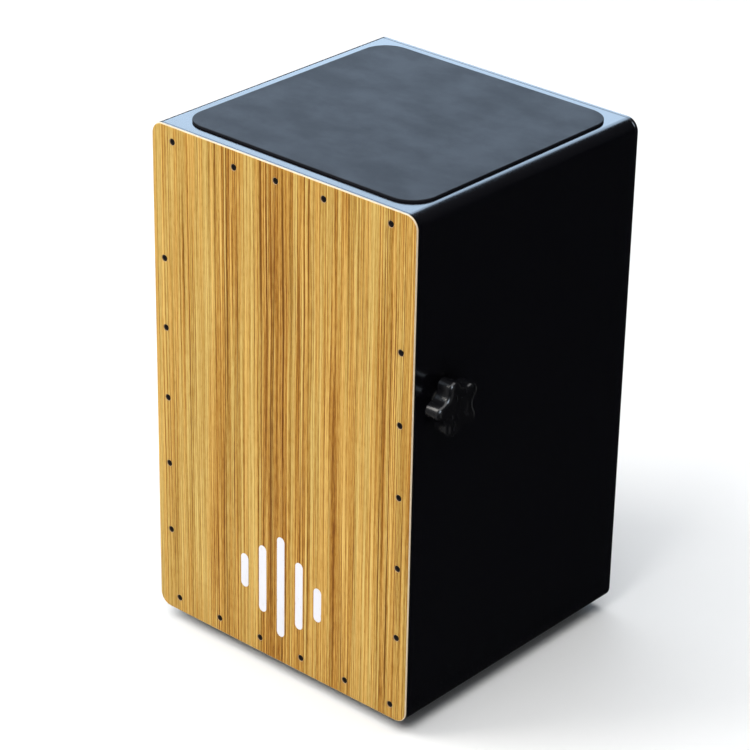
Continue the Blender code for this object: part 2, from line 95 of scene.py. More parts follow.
class Graph:
    """The node tree of a material or a world, with short calls for the nodes used here."""

    def __init__(self, owner):
        owner.use_nodes = True
        self.tree = owner.node_tree

    def node(self, kind, *values, **settings):
        """A new node, with its first inputs joined to the values."""
        made = self.tree.nodes.new(kind)
        for key, value in settings.items():
            setattr(made, key, value)
        for value, socket in zip(values, made.inputs):
            self.join(value, socket)
        return made

    def join(self, value, socket):
        """Links an output to an input, or sets the input's own value; colours are opaque."""
        if isinstance(value, bpy.types.NodeSocket):
            self.tree.links.new(value, socket)
        elif socket.type == "RGBA":
            socket.default_value = (*value, 1.0)
        else:
            socket.default_value = value

    def fill(self, node, **values):
        """Joins values to a node's inputs, whose names have _ for each space here."""
        for name, value in values.items():
            self.join(value, node.inputs[name.replace("_", " ")])

    def split(self, vector):
        return tuple(self.node("ShaderNodeSeparateXYZ", vector).outputs)

    def vector(self, x, y, z):
        return self.node("ShaderNodeCombineXYZ", x, y, z).outputs[0]

    def math(self, operation, a, b=0.0):
        return self.node("ShaderNodeMath", a, b, operation=operation).outputs[0]

    def plus(self, a, b):
        return self.math("ADD", a, b)

    def minus(self, a, b):
        return self.math("SUBTRACT", a, b)

    def times(self, a, b):
        return self.math("MULTIPLY", a, b)

    def scaled(self, vector, sizes):
        """The place divided by feature sizes along X, Y and Z, or by one size for all three."""
        if not isinstance(sizes, tuple):
            sizes = (sizes, sizes, sizes)
        return self.node("ShaderNodeVectorMath", vector, sizes, operation="DIVIDE").outputs[0]

    def remap(self, value, low, high, to_low=0.0, to_high=1.0, smooth=True):
        kind = "SMOOTHSTEP" if smooth else "LINEAR"
        made = self.node("ShaderNodeMapRange", interpolation_type=kind)
        self.fill(made, Value=value, From_Min=low, From_Max=high, To_Min=to_low, To_Max=to_high)
        return made.outputs["Result"]

    def ramp(self, value, stops, interpolation="LINEAR"):
        """stops are (position, colour) pairs, in order."""
        made = self.node("ShaderNodeValToRGB")
        made.color_ramp.interpolation = interpolation
        elements = made.color_ramp.elements
        while len(elements) < len(stops):
            elements.new(1.0)
        for element, (position, colour) in zip(elements, stops):
            element.position = position
            element.color = (*colour, 1.0)
        self.join(value, made.inputs["Fac"])
        return made.outputs["Color"]

    def mix(self, factor, a, b, blend="MIX"):
        made = self.node("ShaderNodeMix", data_type="RGBA", blend_type=blend)
        self.fill(made, Factor=factor, A=a, B=b)
        return made.outputs["Result"]


class MaterialGraph(Graph):
    """A new material's graph, which ends in its Principled BSDF."""

    def __init__(self, name):
        self.material = bpy.data.materials.new(name)
        super().__init__(self.material)
        self.shader = self.tree.nodes["Principled BSDF"]
        self.place = self.node("ShaderNodeTexCoord").outputs["Object"]

    def noise(self, sizes, detail=2.0, roughness=0.5, distortion=0.0, at=None):
        """Noise with features of these sizes, at a place on the object or at another vector."""
        made = self.node("ShaderNodeTexNoise")
        self.fill(made, Vector=self.scaled(at or self.place, sizes), Scale=1.0)
        self.fill(made, Detail=detail, Roughness=roughness, Distortion=distortion)
        return made.outputs["Fac"]

    def bump(self, height, strength, distance):
        made = self.node("ShaderNodeBump")
        self.fill(made, Strength=strength, Distance=distance, Height=height)
        self.join(made.outputs["Normal"], self.shader.inputs["Normal"])

    def finish(self, colour, roughness, specular=0.5, metallic=0.0):
        """Sets the shader; specular and metallic are the same all over."""
        self.fill(self.shader, Base_Color=colour, Roughness=roughness)
        self.fill(self.shader, Specular_IOR_Level=specular, Metallic=metallic)
        return self.material


# Zebrano: broad bands as (mm right of the middle, lightness) and the strongest dark lines, in mm
ZEBRANO_BANDS = [
    (-150, 0.64), (-140, 0.68), (-130, 0.58), (-115, 0.54), (-105, 0.55), (-95, 0.62), (-87, 0.72),
    (-75, 0.49), (-62, 0.42), (-50, 0.44), (-36, 0.74), (-25, 0.52), (-15, 0.33), (-5, 0.32),
    (5, 0.34), (14, 0.66), (25, 0.42), (40, 0.60), (52, 0.56), (62, 0.38), (78, 0.50),
    (90, 0.52), (101, 0.67), (112, 0.62), (120, 0.46), (130, 0.48), (140, 0.52), (150, 0.50),
]
ZEBRANO_LINES = [
    -136.5, -130.5, -107, -90, -75, -62, -49.5, -22, -10.5, 3.5, 13, 23.5, 28, 33.5, 45.5, 62, 84,
    119.5, 125.5,
]
LINE_WIDTH = 1.1 * MM
LINE_DEPTH = 0.40
STRIPES = [  # width across, length along, seed, noise from and to, tone added below and above
    (2.6 * MM, 0.60, 1.0, 0.45, 0.55, -0.06, 0.06),
    (1.6 * MM, 0.42, 2.0, 0.30, 0.70, -0.21, 0.21),
    (1.0 * MM, 0.26, 4.0, 0.56, 0.67, 0.05, -0.44),
    (1.0 * MM, 0.26, 5.0, 0.56, 0.67, -0.05, 0.40),
    (0.8 * MM, 0.014, 6.0, 0.25, 0.75, -0.13, 0.13),
]
STRIPES_BY_BAND = (0.35, 0.70, 1.15, 0.80)  # lightness from and to, depth of the stripes there
WANDER = 3.5 * MM
WANDER_SIZE = (0.2, 1.0, 0.25)
RIPPLE = 0.5 * MM
RIPPLE_SIZE = (0.04, 1.0, 0.05)
LINE_FADING = (6 * MM, 0.16, 31.0)  # width across, length along, seed
FIBRES = (0.45 * MM, 7 * MM, 3.0)
PORE_DEPTH = 0.22
FIBRE_DEPTH = 0.32
HUE_STREAKS = (5 * MM, 0.4, 11.0)
HUE_BY_BAND = 0.35
HUE_LOW, HUE_HIGH = 0.25, 0.37
STRAW_TINT = (0.98, 1.03, 1.03)
ORANGE_TINT = (1.03, 0.97, 0.85)
PLY_EDGE_T = 1.5 * MM
ZEBRANO_COLOURS = [
    (0.0, (0.16, 0.053, 0.004)),
    (0.2, (0.28, 0.122, 0.011)),
    (0.38, (0.375, 0.190, 0.032)),
    (0.48, (0.435, 0.246, 0.052)),
    (0.6, (0.485, 0.290, 0.072)),
    (0.75, (0.550, 0.353, 0.100)),
    (1.0, (0.66, 0.462, 0.153)),
]


def zebrano_material():
    """Straight vertical stripes at several widths, long dark lines that wander, and pores."""
    g = MaterialGraph("zebrano_veneer")
    x, _, z = g.split(g.place)
    slow = g.noise(WANDER_SIZE, detail=1)
    quick = g.noise(RIPPLE_SIZE, detail=2)
    wander = g.times(g.minus(slow, 0.5), WANDER)
    ripple = g.times(g.minus(quick, 0.5), RIPPLE)
    across = g.plus(g.minus(x, MIDDLE_X), g.plus(wander, ripple))

    def streaks(wide, long, seed):
        there = g.vector(across, seed, z)
        return g.noise((wide, 1.0, long), detail=1, roughness=0.4, at=there)

    position = g.remap(across, -HALF_W, HALF_W, smooth=False)
    stops = [((mm * MM / HALF_W + 1) / 2, (tone, tone, tone)) for mm, tone in ZEBRANO_BANDS]
    band = g.ramp(position, stops, "B_SPLINE")
    tone = band
    depth = g.remap(band, *STRIPES_BY_BAND)
    for wide, long, seed, low, high, below, above in STRIPES:
        stripe = g.remap(streaks(wide, long, seed), low, high, below, above)
        tone = g.plus(tone, g.times(stripe, depth))
    fading = g.remap(streaks(*LINE_FADING), 0.3, 0.6)
    for mm in ZEBRANO_LINES:
        off = g.math("ABSOLUTE", g.minus(across, mm * MM))
        line = g.remap(off, 0.0, LINE_WIDTH, LINE_DEPTH, 0.0)
        tone = g.minus(tone, g.times(line, fading))
    fibres = streaks(*FIBRES)
    pores = g.remap(fibres, 0.58, 0.70)
    tone = g.minus(tone, g.times(pores, PORE_DEPTH))
    tone = g.plus(tone, g.times(g.minus(fibres, 0.5), FIBRE_DEPTH))
    colour = g.ramp(tone, ZEBRANO_COLOURS)
    orange = g.minus(streaks(*HUE_STREAKS), g.times(band, HUE_BY_BAND))
    orange = g.remap(orange, HUE_LOW, HUE_HIGH)
    tint = g.mix(orange, STRAW_TINT, ORANGE_TINT)
    colour = g.mix(1.0, colour, tint, "MULTIPLY")
    roughness = g.remap(tone, 0.0, 1.0, 0.50, 0.40)
    grain = g.minus(tone, g.times(pores, 0.8))
    g.bump(grain, 0.12, 0.12 * MM)
    return g.finish(colour, roughness, specular=0.12)


def ply_edge_material():
    """The striking plate's sanded front edge: light plies under a thin zebrano skin."""
    g = MaterialGraph("plate_ply_edge")
    _, y, _ = g.split(g.place)
    depth = g.remap(y, PLATE_LOW.y, PLATE_LOW.y + PLY_EDGE_T, smooth=False)
    fibre = g.noise((2.5 * MM, 0.3 * MM, 2.5 * MM), detail=3)
    uneven = g.times(g.minus(fibre, 0.5), 0.25)
    plies = g.ramp(
        g.plus(depth, uneven),
        [
            (0.0, (0.60, 0.42, 0.20)),
            (0.12, (0.68, 0.54, 0.34)),
            (0.45, (0.74, 0.63, 0.46)),
            (0.8, (0.62, 0.50, 0.33)),
            (1.0, (0.30, 0.23, 0.15)),
        ],
    )
    shade = g.remap(fibre, 0.35, 0.65, 0.86, 1.0)
    colour = g.mix(1.0, plies, g.vector(shade, shade, shade), "MULTIPLY")
    g.bump(fibre, 0.25, 0.1 * MM)
    return g.finish(colour, 0.5, specular=0.3)


def lacquer_material():
    """Black lacquer on plywood: a faint orange peel and fine grey dust in cloudy patches."""
    g = MaterialGraph("black_lacquer")
    peel = g.noise(7 * MM, detail=2, roughness=0.4)
    cloud = g.noise(90 * MM, detail=3)
    dust = g.noise(1.1 * MM, detail=1)
    dust = g.times(g.remap(dust, 0.66, 0.76), g.remap(cloud, 0.45, 0.7))
    colour = g.mix(g.times(dust, 0.2), (0.0026, 0.0026, 0.0040), (0.02, 0.02, 0.022))
    roughness = g.plus(g.remap(cloud, 0.3, 0.7, 0.14, 0.20), g.times(dust, 0.1))
    g.bump(peel, 0.035, 0.3 * MM)
    return g.finish(colour, roughness, specular=0.5)


def bare_wood_material(name, along, light, dark):
    """Sanded wood with its grain along the given axis: 0 for X, 1 for Y, 2 for Z."""
    g = MaterialGraph(name)
    sizes = [2.2 * MM] * 3
    sizes[along] = 90 * MM
    grain = g.noise(tuple(sizes), detail=4, roughness=0.6, distortion=0.4)
    sizes = [16 * MM] * 3
    sizes[along] = 0.4
    figure = g.noise(tuple(sizes), detail=2, distortion=1.2)
    both = g.plus(g.times(grain, 0.6), g.times(figure, 0.4))
    colour = g.ramp(both, [(0.36, dark), (0.62, light)])
    g.bump(grain, 0.2, 0.15 * MM)
    return g.finish(colour, g.remap(grain, 0.3, 0.7, 0.66, 0.52), specular=0.3)


def pad_material():
    """Dark foam rubber: a fine leathery grain and a dull sheen, cloudy where it is worn."""
    g = MaterialGraph("pad_rubber")
    grain = g.noise(1.3 * MM, detail=3, roughness=0.6)
    weave = g.node("ShaderNodeTexVoronoi", feature="DISTANCE_TO_EDGE")
    g.fill(weave, Vector=g.scaled(g.place, 1.7 * MM), Scale=1.0)
    creases = g.remap(weave.outputs["Distance"], 0.0, 0.12)
    cloud = g.noise((55 * MM, 40 * MM, 55 * MM), detail=6, roughness=0.62)
    colour = g.ramp(cloud, [(0.34, (0.0145, 0.0150, 0.0190)), (0.66, (0.0079, 0.0083, 0.0112))])
    height = g.plus(g.times(grain, 0.6), g.times(creases, 0.5))
    g.bump(height, 0.3, 0.12 * MM)
    return g.finish(colour, g.remap(cloud, 0.34, 0.66, 0.465, 0.525), specular=0.086)


def grained_material(name, size, detail, dark, light, roughness, bump, specular=0.5):
    """A plain material with a fine grain; roughness is where it is dark and light."""
    g = MaterialGraph(name)
    grain = g.noise(size, detail)
    colour = g.ramp(grain, [(0.3, dark), (0.7, light)])
    g.bump(grain, *bump)
    return g.finish(colour, g.remap(grain, 0.3, 0.7, *roughness), specular)


def knob_material():
    """Glossy black moulded plastic with a very fine skin and faint scuffs."""
    g = MaterialGraph("knob_plastic")
    skin = g.noise(0.9 * MM, detail=2)
    scuff = g.noise((6 * MM, 3 * MM, 9 * MM), detail=4, distortion=0.6)
    colour = g.mix(g.remap(scuff, 0.6, 0.8), (0.0035, 0.0035, 0.0045), (0.009, 0.009, 0.011))
    g.bump(skin, 0.04, 0.1 * MM)
    return g.finish(colour, g.remap(scuff, 0.4, 0.75, 0.20, 0.30), specular=0.5)


def metal_material(name, colour, worn, roughness, metallic=1.0, specular=0.5):
    """Turned or drawn metal, a little duller and darker in patches."""
    g = MaterialGraph(name)
    patch = g.noise(3 * MM, detail=3)
    fine = g.noise(0.25 * MM, detail=1)
    tint = g.mix(g.remap(patch, 0.4, 0.7), colour, worn)
    g.bump(fine, 0.06, 0.05 * MM)
    roughness = g.remap(patch, 0.3, 0.7, roughness, roughness + 0.15)
    return g.finish(tint, roughness, specular, metallic)


def paint_material():
    """White screen print, slightly uneven, on the veneer."""
    g = MaterialGraph("white_print")
    speck = g.noise((1.2 * MM, 1.2 * MM, 6 * MM), detail=3)
    colour = g.mix(g.remap(speck, 0.58, 0.8), (0.74, 0.74, 0.80), (0.62, 0.58, 0.54))
    g.bump(speck, 0.08, 0.05 * MM)
    return g.finish(colour, g.remap(speck, 0.3, 0.7, 0.4, 0.52), specular=0.4)


def floor_material():
    """Pale studio paper, very slightly uneven."""
    g = MaterialGraph("pale_floor")
    patch = g.noise(0.5, detail=4)
    colour = g.ramp(patch, [(0.3, (0.86, 0.86, 0.86)), (0.7, (0.90, 0.90, 0.90))])
    return g.finish(colour, 0.7, specular=0.2)


def backdrop_material():
    """Evenly lit pale paper."""
    g = MaterialGraph("pale_backdrop")
    patch = g.noise(1.5, detail=3)
    colour = g.ramp(patch, [(0.3, (0.70, 0.70, 0.70)), (0.7, (0.74, 0.74, 0.74))])
    g.fill(g.shader, Emission_Color=colour, Emission_Strength=1.0)
    return g.finish((0.0, 0.0, 0.0), 1.0, specular=0.0)


BIRCH = ((0.60, 0.43, 0.25), (0.44, 0.29, 0.15))
PINE = ((0.62, 0.42, 0.20), (0.43, 0.25, 0.10))
BEECH = ((0.56, 0.35, 0.20), (0.41, 0.23, 0.12))
# Dark brown wood for the countersinks and screw holes: painted shade in the recesses round the screw heads
RECESS_SHADE_WOOD = ((0.42, 0.27, 0.13), (0.26, 0.15, 0.07))
BLACK_RUBBER = ((0.012, 0.012, 0.012), (0.026, 0.026, 0.027))
WHITE_NYLON = ((0.62, 0.60, 0.54), (0.74, 0.72, 0.66))
BLACKED = ((0.003, 0.002, 0.002), (0.009, 0.006, 0.005))
ZINC = ((0.62, 0.63, 0.65), (0.42, 0.42, 0.44))
BRIGHT_STEEL = ((0.70, 0.70, 0.70), (0.50, 0.49, 0.47))

ZEBRANO = zebrano_material()
PLY_EDGE = ply_edge_material()
LACQUER = lacquer_material()
PLYWOOD = bare_wood_material("inner_plywood", 2, *BIRCH)
PLYWOOD_LEVEL = bare_wood_material("inner_plywood_level", 1, *BIRCH)
PINE_X = bare_wood_material("batten_wood_across", 0, *PINE)
PINE_Z = bare_wood_material("batten_wood_upright", 2, *PINE)
BEECH_X = bare_wood_material("snare_bar_wood", 0, *BEECH)
PAD = pad_material()
RUBBER = grained_material(
    "black_rubber", 0.8 * MM, 3, *BLACK_RUBBER, (0.7, 0.85), (0.25, 0.1 * MM), 0.35
)
KNOB = knob_material()
NYLON = grained_material(
    "natural_nylon", 1.5 * MM, 2, *WHITE_NYLON, (0.42, 0.42), (0.1, 0.05 * MM)
)
STEEL = metal_material("zinc_plated_steel", *ZINC, 0.26)
WIRE = metal_material("snare_wire_steel", *BRIGHT_STEEL, 0.22)
BLACK_STEEL = metal_material("black_screw_steel", *BLACKED, 0.4, 0.0, 0.25)
# The countersinks' dark wood is painted shade in the recesses, not a stain
COUNTERSUNK = bare_wood_material("countersink_painted_shade", 2, *RECESS_SHADE_WOOD)
PRINT = paint_material()


# Shapes


def arc(centre, radius, start, end, steps):
    """Points on a circle from angle start to angle end, both ends included."""
    angles = [start + (end - start) * i / steps for i in range(steps + 1)]
    return [(centre[0] + radius * cos(a), centre[1] + radius * sin(a)) for a in angles]


def circle(radius, steps):
    return arc((0, 0), radius, 0, 2 * pi, steps)[:-1]


def rounded_rectangle(low, high, radius, steps=CORNER_STEPS):
    """The outline between two opposite corners, counter-clockwise."""
    corners = [(high[0], high[1], 0), (low[0], high[1], 1), (low[0], low[1], 2), (high[0], low[1], 3)]
    outline = []
    for u, v, quarter in corners:
        centre_u = u - copysign(radius, u - (low[0] + high[0]) / 2)
        centre_v = v - copysign(radius, v - (low[1] + high[1]) / 2)
        start = quarter * pi / 2
        outline += arc((centre_u, centre_v), radius, start, start + pi / 2, steps)
    return outline


def mesh_of(name, shape):
    """Turns a bmesh into a mesh whose faces look outwards."""
    bmesh.ops.recalc_face_normals(shape, faces=shape.faces)
    mesh = bpy.data.meshes.new(name)
    shape.to_mesh(mesh)
    shape.free()
    return mesh


def new_object(name, data):
    made = bpy.data.objects.new(name, data)
    bpy.context.scene.collection.objects.link(made)
    return made


def add(name, shape, body, materials, stands_for=(), ease=0.0):
    """Makes a piece from a bmesh, which rides on a body and stands for some CAD nodes."""
    return add_mesh(name, mesh_of(name, shape), body, materials, stands_for, ease)


def add_mesh(name, mesh, body, materials, stands_for=(), ease=0.0, place=(0, 0, 0)):
    mesh.shade_smooth()
    mesh.set_sharp_from_angle(angle=SHARP_ANGLE)
    made = new_object(name, mesh)
    made.location = place
    if not mesh.materials:
        for material in materials:
            mesh.materials.append(material)
    if ease:
        bevel = made.modifiers.new("eased_edges", "BEVEL")
        bevel.width = ease
        bevel.segments = 3
        bevel.limit_method = "ANGLE"
        bevel.angle_limit = SHARP_ANGLE
        bevel.harden_normals = True
    flat = made.modifiers.new("flat_faces_stay_flat", "WEIGHTED_NORMAL")
    flat.keep_sharp = True
    bpy.context.view_layer.update()
    if body:
        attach(made, body)
    if stands_for:
        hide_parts(*stands_for)
    return made


def ring_of(shape, outline, level, axis, centre=(0, 0, 0)):
    """Vertices of an outline across an axis: (y, z) across X, (x, z) across Y, (x, y) across Z."""
    ring = []
    for u, v in outline:
        point = {"X": (level, u, v), "Y": (u, level, v), "Z": (u, v, level)}[axis]
        ring.append(shape.verts.new(Vector(centre) + Vector(point)))
    return ring


def prism(outline, low, high, axis, into=None):
    """Extrudes an outline along an axis."""
    shape = into or bmesh.new()
    skin(shape, [ring_of(shape, outline, level, axis) for level in (low, high)])
    return shape


def rounding(radius, steps):
    """A quarter round as (inset, sunk) pairs, from the face to the side."""
    turns = [pi / 2 * i / steps for i in range(steps + 1)]
    return [(radius * (1 - sin(t)), radius * (1 - cos(t))) for t in turns]


def skin(shape, rings, capped=True, closed=False):
    """Joins equal rings of vertices by quads, and caps the two ends."""
    pairs = list(zip(rings, rings[1:]))
    if closed:
        pairs.append((rings[-1], rings[0]))
    for lower, upper in pairs:
        for i in range(len(lower)):
            j = (i + 1) % len(lower)
            shape.faces.new((lower[i], lower[j], upper[j], upper[i]))
    if capped and not closed:
        shape.faces.new(list(reversed(rings[0])))
        shape.faces.new(rings[-1])


def turned(profile, steps, centre, axis, closed=False, into=None):
    """Spins (radius, distance along the axis) points about an axis through centre."""
    shape = into or bmesh.new()
    rings = [ring_of(shape, circle(radius, steps), along, axis, centre) for radius, along in profile]
    skin(shape, rings, closed=closed)
    return shape


def block(low, high):
    outline = [(low[0], low[1]), (high[0], low[1]), (high[0], high[1]), (low[0], high[1])]
    return prism(outline, low[2], high[2], "Z")


def drill(shape, node, radius, low, high, axis="Y"):
    """Adds a straight hole on the axis of a screw to a cutter."""
    centre = middle_of(node)
    centre["XYZ".index(axis)] = 0
    turned([(radius, low), (radius, high)], SMALL_STEPS, centre, axis, into=shape)


def cut(mesh, cutter):
    """Takes the cutter's bmesh out of a mesh, and returns the result as a new mesh."""
    target = new_object("cut_target", mesh)
    tool = new_object("cut_tool", mesh_of("cut_tool", cutter))
    modifier = target.modifiers.new("cut", "BOOLEAN")
    modifier.object = tool
    modifier.solver = "EXACT"
    graph = bpy.context.evaluated_depsgraph_get()
    result = bpy.data.meshes.new_from_object(target.evaluated_get(graph))
    for item in (target, tool):
        bpy.data.objects.remove(item)
    if not result.polygons:
        raise ValueError(f"nothing is left of {mesh.name}")
    return result


# Cabinet

SOUND_HOLE_R = 57.5 * MM
BACK_EASE = 0.6 * MM
FOOT_HOLE_R = 2.3 * MM
BUSH_HOLE_R = 6.3 * MM


def lid_outline(sign, level):
    """Section of the top (sign 1) or bottom (sign -1) panel, rebated over the side panels."""
    reach = asin((CORNER_R - REBATE) / CORNER_R)
    centre = (HALF_W - CORNER_R, level - sign * CORNER_R)
    rounded = arc(centre, CORNER_R, sign * reach, sign * pi / 2, CORNER_STEPS)
    inner = HALF_W - WALL_T
    right = [(inner, level - sign * WALL_T), (inner, level - sign * REBATE)] + rounded
    left = [(-u, v) for u, v in reversed(right)]
    return [(MIDDLE_X + u, v) for u, v in right + left]


def side_outline(sign):
    """Section of the right (sign 1) or left (sign -1) side panel."""
    reach = asin((CORNER_R - REBATE) / CORNER_R)
    across = HALF_W - CORNER_R
    low = arc((across, BOTTOM + CORNER_R), CORNER_R, -reach, 0, CORNER_STEPS)
    high = arc((across, TOP - CORNER_R), CORNER_R, 0, reach, CORNER_STEPS)
    inner = HALF_W - WALL_T
    outline = low + high + [(inner, high[-1][1]), (inner, low[0][1])]
    return [(MIDDLE_X + sign * u, v) for u, v in outline]


def paint_inside(made, outward, threshold=0.5):
    """Gives the second material to the faces that look away from outward."""
    for face in made.data.polygons:
        if face.normal.dot(outward) < -threshold:
            face.material_index = 1


def foot_screw_holes():
    holes = bmesh.new()
    for corner in CORNERS:
        node = f"foot_screw_{corner}"
        end = corners_of(node)[1].z + CLEARANCE
        drill(holes, node, FOOT_HOLE_R, BOTTOM - WALL_T, end, "Z")
    return holes


def make_shell():
    low, high = corners_of("top_panel")
    sections = {
        "top_panel": (lid_outline(1, TOP), Vector((0, 0, 1))),
        "bottom_panel": (lid_outline(-1, BOTTOM), Vector((0, 0, -1))),
        "right_side_panel": (side_outline(1), Vector((1, 0, 0))),
        "left_side_panel": (side_outline(-1), Vector((-1, 0, 0))),
    }
    hole = [(BUSH_HOLE_R, MIDDLE_X), (BUSH_HOLE_R, MIDDLE_X + 2 * HALF_W)]
    bush_hole = turned(hole, ROUND_STEPS, (0, AXIS.y, AXIS.z), "X")
    cutters = {"bottom_panel": foot_screw_holes(), "right_side_panel": bush_hole}
    for node, (outline, outward) in sections.items():
        mesh = mesh_of(node, prism(outline, low.y, high.y, "Y"))
        if node in cutters:
            mesh = cut(mesh, cutters[node])
        name = node.replace("_panel", "_wall")
        inside = PLYWOOD_LEVEL if outward.z else PLYWOOD
        made = add_mesh(name, mesh, "cabinet", [LACQUER, inside], [node])
        paint_inside(made, outward)


def sheet(name, low, high, steps):
    """A panel with rounded corners, its edge given as (inset, y) steps from front to back."""
    shape = bmesh.new()
    rings = []
    for inset, level in steps:
        outline = rounded_rectangle(
            (low.x + inset, low.z + inset), (high.x - inset, high.z - inset), CORNER_R - inset
        )
        rings.append(ring_of(shape, outline, level, "Y"))
    skin(shape, rings)
    return mesh_of(name, shape)


def make_back_panel():
    """A thin panel with the sound hole, its edges eased."""
    openings = {o["name"]: o["box_m"] for o in frame["record"]["physics"]["openings"]}
    hole_low, hole_high = map(Vector, openings["sound_hole"])
    centre = (hole_low + hole_high) / 2
    front, back = BACK_LOW.y, BACK_HIGH.y
    thickness = back - front
    ease = BACK_EASE
    steps = [(ease, front), (0.0, front + ease), (0.0, back - ease), (ease, back)]
    panel = sheet("back_panel_sheet", BACK_LOW, BACK_HIGH, steps)
    profile = [
        (SOUND_HOLE_R + 2 * ease, -ease),
        (SOUND_HOLE_R + ease, 0.0),
        (SOUND_HOLE_R, ease),
        (SOUND_HOLE_R, thickness - ease),
        (SOUND_HOLE_R + ease, thickness),
        (SOUND_HOLE_R + 2 * ease, thickness + ease),
    ]
    panel = cut(panel, turned(profile, WIDE_STEPS, (centre.x, front, centre.z), "Y"))
    materials = [LACQUER, PLYWOOD]
    made = add_mesh("rear_panel", panel, "cabinet", materials, ["back_panel"])
    # Only the flat inner face is bare: the eased edges are lacquered.
    paint_inside(made, Vector((0, 1, 0)), threshold=0.9)


# Striking plate and its screws

PRINT_T = 0.06 * MM
PLATE_EASE = 0.35 * MM
PLATE_ROUND = 1.3 * MM
PLATE_ROUND_STEPS = 4
COUNTERSINK_R = 3.4 * MM
SCREW_HEAD_R = 2.75 * MM
SCREW_R = 1.6 * MM
PILOT_R = SCREW_R + CLEARANCE
CUT_PAST = 1 * MM

PLATE_MATERIALS = [ZEBRANO, PLY_EDGE, COUNTERSUNK, LACQUER, PLYWOOD]
FLAT = 0.97
RIM_W = 2 * MM


def plate_screw_nodes():
    return sorted(n for n in frame["nodes"] if n.startswith("plate_screw_"))


def plate_material(polygon):
    """Veneer in front, bare wood behind, dark wood as painted shade in the holes, a light and a lacquered edge
    band.
    """
    if polygon.normal.y > FLAT:
        return PLYWOOD
    if polygon.normal.y < -FLAT:
        return ZEBRANO
    off = polygon.center - (PLATE_LOW + PLATE_HIGH) / 2
    half_h = (PLATE_HIGH.z - PLATE_LOW.z) / 2
    in_corner = abs(off.x) > HALF_W - CORNER_R and abs(off.z) > half_h - CORNER_R
    if not (in_corner or abs(off.x) > HALF_W - RIM_W or abs(off.z) > half_h - RIM_W):
        # Hole walls and countersinks: dark wood as painted shade in the recesses
        return COUNTERSUNK
    return PLY_EDGE if polygon.center.y < PLATE_LOW.y + PLY_EDGE_T else LACQUER


def make_striking_plate():
    """The plate, its face set back by the print's thickness, with a rounded rim and holes."""
    low, high = PLATE_LOW, PLATE_HIGH
    face = low.y + PRINT_T
    steps = [(inset, face + sunk) for inset, sunk in rounding(PLATE_ROUND, PLATE_ROUND_STEPS)]
    steps += [(0.0, low.y + PLY_EDGE_T), (0.0, high.y - PLATE_EASE), (PLATE_EASE, high.y)]
    plate = sheet("plate_sheet", low, high, steps)
    profile = [
        (COUNTERSINK_R + CUT_PAST, -CUT_PAST),
        (COUNTERSINK_R, 0.0),
        (PILOT_R, COUNTERSINK_R - PILOT_R),
        (PILOT_R, high.y - face + CUT_PAST),
    ]
    holes = bmesh.new()
    for node in plate_screw_nodes():
        middle = middle_of(node)
        turned(profile, SMALL_STEPS, (middle.x, face, middle.z), "Y", into=holes)
    plate = cut(plate, holes)
    made = add_mesh("striking_plate", plate, "cabinet", PLATE_MATERIALS, ["front_plate"])
    for polygon in made.data.polygons:
        polygon.material_index = PLATE_MATERIALS.index(plate_material(polygon))


PRINT_BARS = [34 * MM, 68 * MM, 102 * MM, 68 * MM, 34 * MM]
PRINT_BAR_W = 9 * MM
PRINT_PITCH = 22 * MM
PRINT_UP = 78 * MM
PRINT_RIGHT = 2 * MM
PRINT_STEPS = 16


def make_print():
    """A plain generic mark low on the plate: five upright bars, printed in white."""
    shape = bmesh.new()
    radius = PRINT_BAR_W / 2
    z = BOTTOM + PRINT_UP
    for i, length in enumerate(PRINT_BARS):
        x = MIDDLE_X + PRINT_RIGHT + (i - (len(PRINT_BARS) - 1) / 2) * PRINT_PITCH
        straight = length / 2 - radius
        outline = arc((x, z + straight), radius, 0, pi, PRINT_STEPS)
        outline += arc((x, z - straight), radius, pi, 2 * pi, PRINT_STEPS)
        prism(outline, PLATE_LOW.y, PLATE_LOW.y + PRINT_T * 1.5, "Y", shape)
    add("printed_mark", shape, "cabinet", [PRINT])


# A cross recess by levels: half an arm's width, its reach and the depth, in head radii
RECESS_LEVELS = [(0.13, 0.62, -0.1), (0.13, 0.62, 0.0), (0.08, 0.2, 0.5)]


def cross_recess(head_r):
    """A tapered cross, as a cutter that goes into a screw's head from 0 along Y."""
    shape = bmesh.new()
    rings = []
    for half, reach, depth in RECESS_LEVELS:
        h, r = half * head_r, reach * head_r
        arm = [(r, -h), (r, h), (h, h)]
        ring = []
        for c, s in ((1, 0), (0, 1), (-1, 0), (0, -1)):
            ring += [(u * c - v * s, u * s + v * c) for u, v in arm]
        rings.append(ring_of(shape, ring, depth * head_r, "Y"))
    skin(shape, rings)
    return shape


# The head's face as (head radii, depth), and the threaded part
SCREW_FACE = [(0.55, 0.06 * MM), (0.9, 0.0), (1.0, 0.12 * MM)]
THREAD_PITCH = 1.2 * MM
THREAD_ROOT = 0.75
PLAIN_SHANK_L = 2 * MM
POINT_L = 3 * MM
POINT_R = 0.2 * MM


def make_plate_screws():
    """Black countersunk cross-head screws, which share one mesh."""
    nodes = plate_screw_nodes()
    low, high = corners_of(nodes[0])
    length = high.y - low.y
    profile = [(SCREW_HEAD_R * share, depth) for share, depth in SCREW_FACE]
    profile.append((SCREW_R, SCREW_HEAD_R - SCREW_R))
    along = SCREW_HEAD_R - SCREW_R + PLAIN_SHANK_L
    while along < length - POINT_L:
        profile += [(SCREW_R * THREAD_ROOT, along), (SCREW_R, along + THREAD_PITCH / 2)]
        along += THREAD_PITCH
    profile.append((POINT_R, length))
    shape = turned(profile, ROD_STEPS, (0, 0, 0), "Y")
    mesh = cut(mesh_of("plate_screw_shape", shape), cross_recess(SCREW_HEAD_R))
    for node in nodes:
        middle = middle_of(node)
        place = (middle.x, corners_of(node)[0].y, middle.z)
        name = node.replace("plate_screw", "tapa_screw")
        add_mesh(name, mesh, "cabinet", [BLACK_STEEL], [node], place=place)


# Battens

BATTEN_EASE = 0.5 * MM


